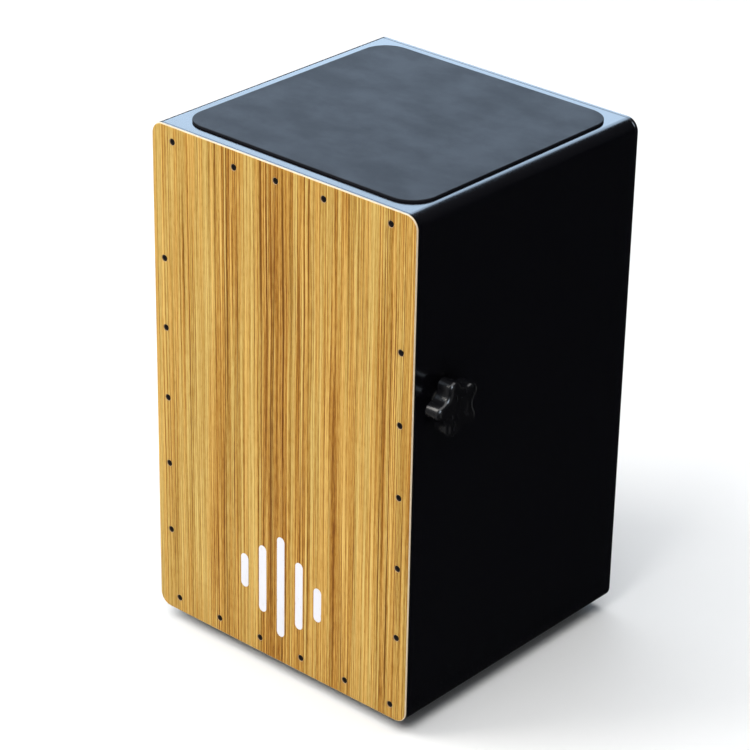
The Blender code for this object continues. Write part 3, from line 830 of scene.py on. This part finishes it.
def screw_pilots(batten):
    """The holes of the plate's screws that run into a front batten, as one cutter."""
    low, high = corners_of(batten)
    pilots = bmesh.new()
    for node in plate_screw_nodes():
        middle = middle_of(node)
        if low.x < middle.x < high.x and low.z < middle.z < high.z:
            drill(pilots, node, PILOT_R, PLATE_LOW.y, corners_of(node)[1].y + CLEARANCE)
    return pilots


def make_battens():
    for end in ("front", "rear"):
        for side in ("top", "bottom", "left", "right"):
            node = f"{end}_batten_{side}"
            wood = PINE_Z if side in ("left", "right") else PINE_X
            mesh = mesh_of(node, block(*corners_of(node)))
            if end == "front":
                mesh = cut(mesh, screw_pilots(node))
            name = f"{end}_strip_{side}"
            add_mesh(name, mesh, "cabinet", [wood], [node], ease=BATTEN_EASE)


# Seat pad

PAD_R = 25 * MM
PAD_CORNER_STEPS = 16
PAD_DIP = 0.04 * MM
PAD_DIP_SIZE = 38 * MM
PAD_RINGS = 24
PAD_DIP_RINGS = 3
# The edge as (mm in from the side, height), where the last height is the top
PAD_EDGE = [
    (0.3, 0.0), (0.05, 0.25), (0.0, 0.9), (0.02, 2.2), (0.13, 2.6), (0.4, 2.87), (0.8, 2.98),
    (1.2, 3.0), (1.7, 3.0),
]


def make_seat_pad():
    """A thin foam rubber sheet with a rounded edge and a faintly uneven top."""
    low, high = corners_of("seat_pad")
    middle = middle_of("seat_pad")
    thickness = high.z - TOP
    shape = bmesh.new()
    rings = []
    for inset, height in PAD_EDGE:
        inset *= MM
        inner_low, inner_high = (low.x + inset, low.y + inset), (high.x - inset, high.y - inset)
        outline = rounded_rectangle(inner_low, inner_high, PAD_R - inset, PAD_CORNER_STEPS)
        level = TOP + thickness * height / PAD_EDGE[-1][1]
        rings.append(ring_of(shape, outline, level, "Z"))
    edge = [v.co.copy() for v in rings[-1]]
    for step in range(1, PAD_RINGS):
        part = 1 - step / PAD_RINGS
        ring = []
        for point in edge:
            x = middle.x + (point.x - middle.x) * part
            y = middle.y + (point.y - middle.y) * part
            dip = 0.5 + 0.5 * noise.noise(Vector((x, y, 0)) / PAD_DIP_SIZE)
            depth = PAD_DIP * dip * min(1, step / PAD_DIP_RINGS)
            ring.append(shape.verts.new((x, y, high.z - depth)))
        rings.append(ring)
    skin(shape, rings)
    pad = add("seat_pad_sheet", shape, "cabinet", [PAD], ["seat_pad"])


# Feet

# Section of a foot as (radius, height) in mm: a grooved ring with a recess for its screw
FOOT_SECTION = [
    (6.0, 0.3), (6.3, 0.0), (12.4, 0.0), (13.3, 0.25), (13.9, 0.9), (14.2, 3.4), (13.9, 3.7),
    (13.9, 4.1), (14.3, 4.4), (15.0, 11.2), (14.8, 12.0), (2.4, 12.0), (2.4, 6.0), (6.0, 6.0),
]
# A pan head from its crown to the shank, as (radius, height) in mm
FOOT_SCREW_HEAD = [(1.6, 0.0), (3.1, 0.25), (3.9, 1.3), (4.0, 2.6), (2.0, 2.6)]
FOOT_SCREW_HEAD_R = 4 * MM
FOOT_SCREW_R = 2 * MM
FOOT_SCREW_TIP_L = 2 * MM
FOOT_SCREW_TIP_R = 0.3 * MM


def make_feet():
    for corner in CORNERS:
        node = f"foot_{corner}"
        middle = middle_of(node)
        section = [(radius * MM, height * MM) for radius, height in FOOT_SECTION]
        shape = turned(section, ROUND_STEPS, (middle.x, middle.y, 0), "Z", closed=True)
        add(f"rubber_{node}", shape, "cabinet", [RUBBER], [node])
        make_foot_screw(f"foot_screw_{corner}", middle)


def make_foot_screw(node, middle):
    low, high = corners_of(node)
    profile = [(radius * MM, low.z + height * MM) for radius, height in FOOT_SCREW_HEAD]
    profile += [(FOOT_SCREW_R, high.z - FOOT_SCREW_TIP_L), (FOOT_SCREW_TIP_R, high.z)]
    shape = turned(profile, ROD_STEPS, (middle.x, middle.y, 0), "Z")
    mesh = mesh_of(node, shape)
    recess = cross_recess(FOOT_SCREW_HEAD_R)
    lay = Matrix.Translation((middle.x, middle.y, low.z)) @ Matrix.Rotation(pi / 2, 4, "X")
    bmesh.ops.transform(recess, matrix=lay, verts=recess.verts)
    name = node.replace("foot_screw", "pan_screw")
    add_mesh(name, cut(mesh, recess), "cabinet", [STEEL], [node])


# Star knob

KNOB_LOBES = 5
KNOB_R = 26 * MM
LOBE_R = 7 * MM
LOBE_STEPS = 14
SCALLOP_R = 9.5 * MM
SCALLOP_STEPS = 10
LOBE_PHASE = radians(176)
KNOB_BACK = 6.5 * MM
KNOB_BACK_ROUNDING = 1.2 * MM
KNOB_BACK_STEPS = 4
KNOB_ROUNDING = 4.0 * MM
KNOB_FACE_STEPS = 8
HUB_R = 12 * MM
HUB_FACE = 3.1 * MM
HUB_EASE = 0.6 * MM
BORE_R = 4.3 * MM
BORE_L = 12 * MM
BORE_END_R = 0.3 * MM
KNOB_FACE_R = 10 * MM
# The dished middle of the face as (radius, depth)
KNOB_DISH = [
    (KNOB_FACE_R + 0.5 * MM, 0.0),
    (KNOB_FACE_R, 0.15 * MM),
    (KNOB_FACE_R - 0.6 * MM, 0.6 * MM),
    (KNOB_FACE_R * 0.5, 0.75 * MM),
    (0.5 * MM, 0.8 * MM),
]


def star_outline(inset):
    """Lobes joined by tangent scallops, drawn in by inset all round."""
    half_step = pi / KNOB_LOBES
    lobe_out = KNOB_R - LOBE_R
    across = LOBE_R + SCALLOP_R
    aside = lobe_out * sin(half_step)
    scallop_out = lobe_out * cos(half_step) + sqrt(across**2 - aside**2)
    turn = atan2(scallop_out * sin(half_step), scallop_out * cos(half_step) - lobe_out)
    swing = turn - half_step
    outline = []
    for k in range(KNOB_LOBES):
        lobe = LOBE_PHASE + 2 * k * half_step
        centre = (lobe_out * cos(lobe), lobe_out * sin(lobe))
        outline += arc(centre, LOBE_R - inset, lobe - turn, lobe + turn, LOBE_STEPS)
        valley = lobe + half_step
        centre = (scallop_out * cos(valley), scallop_out * sin(valley))
        inward = valley + pi
        start, end = inward + swing, inward - swing
        outline += arc(centre, SCALLOP_R + inset, start, end, SCALLOP_STEPS)[1:-1]
    return outline


def make_knob():
    """The star knob: rounded lobes, a slightly dished face and a hub behind."""
    wall = MIDDLE_X + HALF_W
    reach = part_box("snare_knob")[1][0] - wall
    shape = bmesh.new()
    angles = [atan2(v, u) for u, v in star_outline(0)]

    def ring(points, along):
        return ring_of(shape, points, along, "X", (wall, AXIS.y, AXIS.z))

    def disc(radius, along):
        return ring([(radius * cos(a), radius * sin(a)) for a in angles], along)

    back = rounding(KNOB_BACK_ROUNDING, KNOB_BACK_STEPS)
    front = rounding(KNOB_ROUNDING, KNOB_FACE_STEPS)
    levels = [(inset, KNOB_BACK + sunk) for inset, sunk in back]
    levels += [(inset, reach - sunk) for sunk, inset in front]
    lobes = [ring(star_outline(inset), along) for inset, along in levels]
    hub = [
        disc(BORE_END_R, HUB_FACE + BORE_L),
        disc(BORE_R, HUB_FACE + BORE_L),
        disc(BORE_R, HUB_FACE),
        disc(HUB_R - HUB_EASE, HUB_FACE),
        disc(HUB_R, HUB_FACE + HUB_EASE),
        disc(HUB_R, KNOB_BACK),
    ]
    face = [disc(radius, reach - depth) for radius, depth in KNOB_DISH]
    skin(shape, hub + lobes + face)
    add("star_knob", shape, "snares", [KNOB], ["snare_knob"])


# Stud, washers, bush, pin and nut on the snare axis

SHAFT_HOLE_R = 4.3 * MM
STUD_PITCH = 1.25 * MM
STUD_THREAD_DEPTH = 0.6 * MM
STUD_END_DEPTH = 0.9 * MM
STUD_END_L = 0.8 * MM
WASHERS = [  # CAD node, name, eased edge, slot, material
    ("knob_washer", "steel_washer", 0.2 * MM, "steel", STEEL),
    ("friction_washer", "rubber_washer", 0.6 * MM, "rubber", RUBBER),
]
BUSH_TUBE_R = 6 * MM
BUSH_FLANGE_T = 1.2 * MM
BUSH_EASE = 0.3 * MM
FLANGE_EASE = 0.4 * MM
PIN_EASE = 0.5 * MM
NUT_CHAMFER = 0.7 * MM


def along_x(node, name, profile, steps, body, material, closed=False):
    """A turned piece about the snare axis; profile is in metres from the axis and along X."""
    shape = turned(profile, steps, (0, AXIS.y, AXIS.z), "X", closed=closed)
    return add(name, shape, body, [material], [node])


def radius_of(node):
    low, high = corners_of(node)
    return (high.z - low.z) / 2


def make_stud():
    """The threaded stud, its thread as fine rings."""
    low, high = corners_of("knob_stud")
    radius = (high.y - low.y) / 2
    profile = [(radius - STUD_END_DEPTH, low.x)]
    along = low.x + STUD_END_L
    while along < high.x - STUD_PITCH:
        profile += [(radius, along), (radius - STUD_THREAD_DEPTH, along + STUD_PITCH / 2)]
        along += STUD_PITCH
    profile += [(radius - STUD_END_DEPTH, high.x)]
    along_x("knob_stud", "threaded_stud", profile, ROD_STEPS, "snares", STEEL)


def make_washers():
    for node, name, ease, slot, material in WASHERS:
        low, high = corners_of(node)
        outer = radius_of(node)
        section = [
            (SHAFT_HOLE_R, low.x), (outer - ease, low.x), (outer, low.x + ease),
            (outer, high.x - ease), (outer - ease, high.x), (SHAFT_HOLE_R, high.x),
        ]
        along_x(node, name, section, ROUND_STEPS, "cabinet", material, closed=True)


def make_bush():
    low, high = corners_of("wall_bush")
    flange = high.x - BUSH_FLANGE_T
    outer = radius_of("wall_bush")
    section = [
        (SHAFT_HOLE_R, low.x), (BUSH_TUBE_R - BUSH_EASE, low.x), (BUSH_TUBE_R, low.x + BUSH_EASE),
        (BUSH_TUBE_R, flange), (outer, flange), (outer, high.x - FLANGE_EASE),
        (outer - FLANGE_EASE, high.x), (SHAFT_HOLE_R, high.x),
    ]
    along_x("wall_bush", "flanged_bush", section, ROUND_STEPS, "cabinet", NYLON, closed=True)


def make_pin():
    low, high = corners_of("pivot_pin")
    radius = radius_of("pivot_pin")
    section = [(radius - PIN_EASE, low.x), (radius, low.x + PIN_EASE)]
    section += [(radius, high.x - PIN_EASE), (radius - PIN_EASE, high.x)]
    along_x("pivot_pin", "steel_pin", section, ROD_STEPS, "snares", STEEL)


def make_nut():
    """A hexagon nut with chamfered corners and an open hole."""
    low, high = corners_of("lock_nut")
    corner = (high.z - low.z) / 2
    flat = (high.y - low.y) / 2
    angles = [k * pi / 3 for k in range(6)]
    outline = [(AXIS.y + corner * sin(a), AXIS.z + corner * cos(a)) for a in angles]
    mesh = mesh_of("nut_shape", prism(outline, low.x, high.x, "X"))
    mesh = cut(mesh, bore_along_x(SHAFT_HOLE_R, low.x - CUT_PAST, high.x + CUT_PAST))
    # The cutter's section: from inside the flats, out past the corners
    start, past, outside = 0.97 * flat, 1.01 * corner, 1.6 * flat
    lip = 0.01 * NUT_CHAMFER
    rim = [
        (outside, low.x - NUT_CHAMFER), (start, low.x - lip), (past, low.x + NUT_CHAMFER),
        (past, high.x - NUT_CHAMFER), (start, high.x + lip), (outside, high.x + NUT_CHAMFER),
    ]
    mesh = cut(mesh, turned(rim, ROUND_STEPS, (0, AXIS.y, AXIS.z), "X", closed=True))
    add_mesh("hexagon_nut", mesh, "snares", [STEEL], ["lock_nut"])


# Snare bar, pivot block and stop peg

STUD_BORE_R = 4.3 * MM
PIN_BORE_R = 3.3 * MM
COMB_SCREW_BORE_R = 1.6 * MM
BAR_EASE = 1.2 * MM
BLOCK_EASE = 0.8 * MM


def bore_along_x(radius, low, high):
    return turned([(radius, low), (radius, high)], ROD_STEPS, (0, AXIS.y, AXIS.z), "X")


def comb_screw_bores():
    bores = bmesh.new()
    for side in ("left", "right"):
        for number in (1, 2):
            node = f"snare_screw_{side}_{number}"
            low, high = corners_of(node)
            drill(bores, node, COMB_SCREW_BORE_R, low.y, high.y + CLEARANCE)
    return bores


def make_blocks():
    """The bar, the pivot block and the stop peg, with eased edges and bores."""
    low, high = corners_of("snare_bar")
    bar = mesh_of("bar", block(low, high))
    stud_end = corners_of("knob_stud")[0].x - CLEARANCE
    pin_end = corners_of("pivot_pin")[1].x + CLEARANCE
    bar = cut(bar, bore_along_x(STUD_BORE_R, stud_end, high.x + WALL_T))
    bar = cut(bar, bore_along_x(PIN_BORE_R, low.x - WALL_T, pin_end))
    bar = cut(bar, comb_screw_bores())
    add_mesh("turning_bar", bar, "snares", [BEECH_X], ["snare_bar"], ease=BAR_EASE)
    low, high = corners_of("pivot_block")
    bearing = mesh_of("bearing", block(low, high))
    bearing = cut(bearing, bore_along_x(PIN_BORE_R, low.x - WALL_T, high.x + WALL_T))
    name = "pivot_bearing_block"
    add_mesh(name, bearing, "cabinet", [PINE_Z], ["pivot_block"], ease=BLOCK_EASE)
    peg = block(*corners_of("bar_stop"))
    add("stop_peg", peg, "cabinet", [PINE_X], ["bar_stop"], ease=BLOCK_EASE)


# Snare combs

WIRES = 10
WIRE_PITCH = 4.6 * MM
COIL_TURN_POINTS = 10
COIL_SIDES = 4
COIL_PITCH = 1.4 * MM
COIL_WIRE_R = 0.24 * MM
COIL_START = 1 * MM
STRIP_T = 1.2 * MM
STRIP_DOWN = 4 * MM
STRIP_UP = 8 * MM
SOLDER_DEPTH = 0.2 * MM
SOLDER_STEPS = 8
SOLDER_R = 1.0 * MM
SOLDER_END_R = 0.4 * MM
# Where the solder starts and is full, up from the strip's lower edge and down from its upper one
SOLDER_LOW = (0.8 * MM, 1.8 * MM)
SOLDER_HIGH = (0.4 * MM, 1.5 * MM)
# A comb screw's head as (head radii, depth), and its shank
COMB_SCREW_HEAD = [(0.5, 0.0), (0.85, 0.3 * MM), (1.0, 1 * MM), (1.0, 1.5 * MM)]
COMB_SCREW_R = 1.3 * MM
COMB_SCREW_TIP_L = 1.5 * MM


def coil(shape, x, y, low, high, radius):
    """A coiled wire that runs up from low to high, its coil of the given outer radius."""
    turns = (high - low) / COIL_PITCH
    count = int(turns * COIL_TURN_POINTS)
    rings = []
    mean = radius - COIL_WIRE_R
    for i in range(count + 1):
        angle = 2 * pi * i / COIL_TURN_POINTS
        out = Vector((cos(angle), sin(angle), 0))
        centre = Vector((x, y, low + (high - low) * i / count)) + out * mean
        ring = []
        for k in range(COIL_SIDES):
            side = 2 * pi * (k + 0.5) / COIL_SIDES
            offset = out * cos(side) + Vector((0, 0, sin(side)))
            ring.append(shape.verts.new(centre + offset * COIL_WIRE_R))
        rings.append(ring)
    skin(shape, rings)


def make_combs():
    """Each comb: a steel strip and ten coiled wires soldered to it."""
    for side in ("left", "right"):
        node = f"snare_wires_{side}"
        low, high = corners_of(node)
        middle = middle_of(node)
        strip_front = high.y - STRIP_T
        bottom, top = AXIS.z - STRIP_DOWN, AXIS.z + STRIP_UP
        strip = mesh_of("strip", block((low.x, strip_front, bottom), (high.x, high.y, top)))
        shape = bmesh.new()
        shape.from_mesh(cut(strip, comb_screw_bores()))
        radius = (strip_front + SOLDER_DEPTH - low.y) / 2
        solder = [(SOLDER_END_R, bottom + SOLDER_LOW[0]), (SOLDER_R, bottom + SOLDER_LOW[1])]
        solder += [(SOLDER_R, top - SOLDER_HIGH[1]), (SOLDER_END_R, top - SOLDER_HIGH[0])]
        for i in range(WIRES):
            x = middle.x + (i - (WIRES - 1) / 2) * WIRE_PITCH
            y = low.y + radius
            coil(shape, x, y, bottom + COIL_START, high.z - COIL_WIRE_R, radius)
            turned(solder, SOLDER_STEPS, (x, y, 0), "Z", into=shape)
        add(f"snare_comb_{side}", shape, "snares", [WIRE], [node])
        for number in (1, 2):
            make_comb_screw(f"snare_screw_{side}_{number}")


def make_comb_screw(node):
    low, high = corners_of(node)
    middle = middle_of(node)
    head_r = (high.x - low.x) / 2
    profile = [(head_r * share, low.y + depth) for share, depth in COMB_SCREW_HEAD]
    profile += [(COMB_SCREW_R, profile[-1][1]), (COMB_SCREW_R, high.y - COMB_SCREW_TIP_L)]
    profile.append((POINT_R, high.y))
    shape = turned(profile, SMALL_STEPS, (middle.x, 0, middle.z), "Y")
    name = node.replace("snare_screw", "comb_screw")
    add(name, shape, "snares", [STEEL], [node])


# Stage

CAMERA_AZIMUTH = 41.21
CAMERA_ELEVATION = 27.07
CAMERA_ROLL = 1.06
CAMERA_DISTANCE = 2.562
CAMERA_AIM_RIGHT = -0.0141
CAMERA_AIM_UP = -0.0051
CAMERA_LENS = 137.8
CAMERA_SENSOR_W = 36

FLOOR_HALF_W = 8.0
BACKDROP_R = 7.8
BACKDROP_H = 6.0
BACKDROP_STEPS = 64

LIGHT_AIM_Z = 0.25
LIGHTS = [  # name, azimuth, elevation, distance, size, radiance, colour, and what it leaves out
    ("rear_sky", 221, 30, 3.2, (3.4, 1.7), 5.6, (0.56, 0.75, 0.98), "diffuse"),
    ("window", 46, 37, 3.0, (1.4, 1.4), 9.0, (0.75, 0.87, 1.0), "diffuse"),
    ("key", -46, 38, 3.0, (1.4, 1.4), 6.9, (1.0, 0.97, 0.92), None),
    ("sun", 14, 36, 2.0, (0.6, 0.6), 8.6, (1.0, 0.98, 0.95), "glossy"),
    ("top", 0, 88, 9.0, (11.0, 11.0), 2.4, (1.0, 1.0, 1.0), None),
]


def direction(azimuth, elevation):
    """From the object towards a place at this azimuth (0 is in front) and elevation."""
    a, e = radians(azimuth), radians(elevation)
    return Vector((sin(a) * cos(e), -cos(a) * cos(e), sin(e)))


def make_camera():
    back = direction(CAMERA_AZIMUTH, CAMERA_ELEVATION)
    right = Vector((0, 0, 1)).cross(back).normalized()
    up = back.cross(right)
    centre = Vector((MIDDLE_X, 0, (BOTTOM + TOP) / 2))
    place = centre + back * CAMERA_DISTANCE + right * CAMERA_AIM_RIGHT + up * CAMERA_AIM_UP
    turn = Matrix((right, up, back)).transposed().to_4x4()
    roll = Matrix.Rotation(radians(CAMERA_ROLL), 4, "Z")
    data = bpy.data.cameras.new("camera")
    data.lens = CAMERA_LENS
    data.sensor_width = CAMERA_SENSOR_W
    data.clip_start = 0.05
    camera = new_object("camera", data)
    camera.matrix_world = Matrix.Translation(place) @ turn @ roll
    bpy.context.scene.camera = camera


def make_light(name, azimuth, elevation, distance, size, radiance, colour, left_out):
    """A soft box of size (width, height) that looks at the object.

    left_out is the kind of rays, diffuse or glossy, that don't see it.
    """
    data = bpy.data.lights.new(name, "AREA")
    data.shape = "RECTANGLE"
    data.size, data.size_y = size
    data.energy = radiance * pi * size[0] * size[1]
    data.color = colour
    light = new_object(name, data)
    out = direction(azimuth, elevation)
    light.location = Vector((MIDDLE_X, 0, LIGHT_AIM_Z)) + out * distance
    light.rotation_euler = out.to_track_quat("Z", "Y").to_euler()
    light.visible_diffuse = left_out != "diffuse"
    light.visible_glossy = left_out != "glossy"


def add_stage(name, shape, material):
    """A piece of the studio, which isn't part of the object."""
    mesh = bpy.data.meshes.new(name)
    shape.to_mesh(mesh)
    shape.free()
    mesh.materials.append(material)
    made = new_object(name, mesh)
    return made


def make_floor():
    half = FLOOR_HALF_W
    shape = bmesh.new()
    corners = [(-half, -half), (half, -half), (half, half), (-half, half)]
    shape.faces.new([shape.verts.new((u, v, 0)) for u, v in corners])
    floor = add_stage("floor", shape, floor_material())
    # The gloss doesn't mirror the pale floor, but the dark lower half of the studio.
    floor.visible_glossy = False


def make_backdrop():
    """A pale wall round the floor, which neither lights the object nor shows in its gloss."""
    shape = bmesh.new()
    outline = circle(BACKDROP_R, BACKDROP_STEPS)
    rings = [ring_of(shape, outline, level, "Z") for level in (0, BACKDROP_H)]
    skin(shape, rings, capped=False)
    backdrop = add_stage("backdrop", shape, backdrop_material())
    backdrop.visible_diffuse = False
    backdrop.visible_glossy = False
    backdrop.visible_transmission = False
    backdrop.visible_shadow = False


def make_stage():
    make_floor()
    make_backdrop()
    make_world()
    bpy.context.scene.view_settings.view_transform = "Standard"
    for settings in LIGHTS:
        make_light(*settings)


WORLD_BY_HEIGHT = [(0.48, 0.014), (0.52, 0.10), (0.65, 0.38), (1.0, 0.55)]
WORLD_TINT = (0.93, 0.97, 1.0)
DIM_PART = (155, 35, 0.3, 0.75, 0.12)  # azimuth, elevation, cosines where it starts and is full, share
GLOWS = [  # azimuth, elevation, cosines where the glow starts and is full, radiance
    (300, -18, 0.55, 0.95, 0.28),
    (190, -12, 0.84, 0.97, 0.35),
    (80, -14, 0.80, 0.97, 0.24),
]


def make_world():
    """A soft studio: pale above, dark below the horizon, dim behind on the right.

    Faint glows low on the left, on the right and behind are there for the black walls to mirror.
    """
    world = bpy.data.worlds.new("studio")
    g = Graph(world)
    place = g.node("ShaderNodeTexCoord").outputs["Generated"]

    def spot(azimuth, elevation, start, full, outside, inside):
        """A value that goes from outside to inside around one direction."""
        out = direction(azimuth, elevation)
        towards = g.node("ShaderNodeVectorMath", place, out, operation="DOT_PRODUCT")
        return g.remap(towards.outputs["Value"], start, full, outside, inside)

    height = g.remap(g.split(place)[2], -1.0, 1.0, smooth=False)
    stops = [
        (position, tuple(value * share for share in WORLD_TINT))
        for position, value in WORLD_BY_HEIGHT
    ]
    light = g.ramp(height, stops)
    for azimuth, elevation, start, full, radiance in GLOWS:
        glow = spot(azimuth, elevation, start, full, 0.0, radiance)
        light = g.node("ShaderNodeVectorMath", light, glow, operation="ADD").outputs["Vector"]
    azimuth, elevation, start, full, share = DIM_PART
    strength = spot(azimuth, elevation, start, full, 1.0, share)
    g.fill(g.tree.nodes["Background"], Color=light, Strength=strength)
    bpy.context.scene.world = world


make_camera()
make_stage()
make_shell()
make_back_panel()
make_striking_plate()
make_print()
make_plate_screws()
make_battens()
make_seat_pad()
make_feet()
make_knob()
make_stud()
make_washers()
make_bush()
make_pin()
make_nut()
make_blocks()
make_combs()
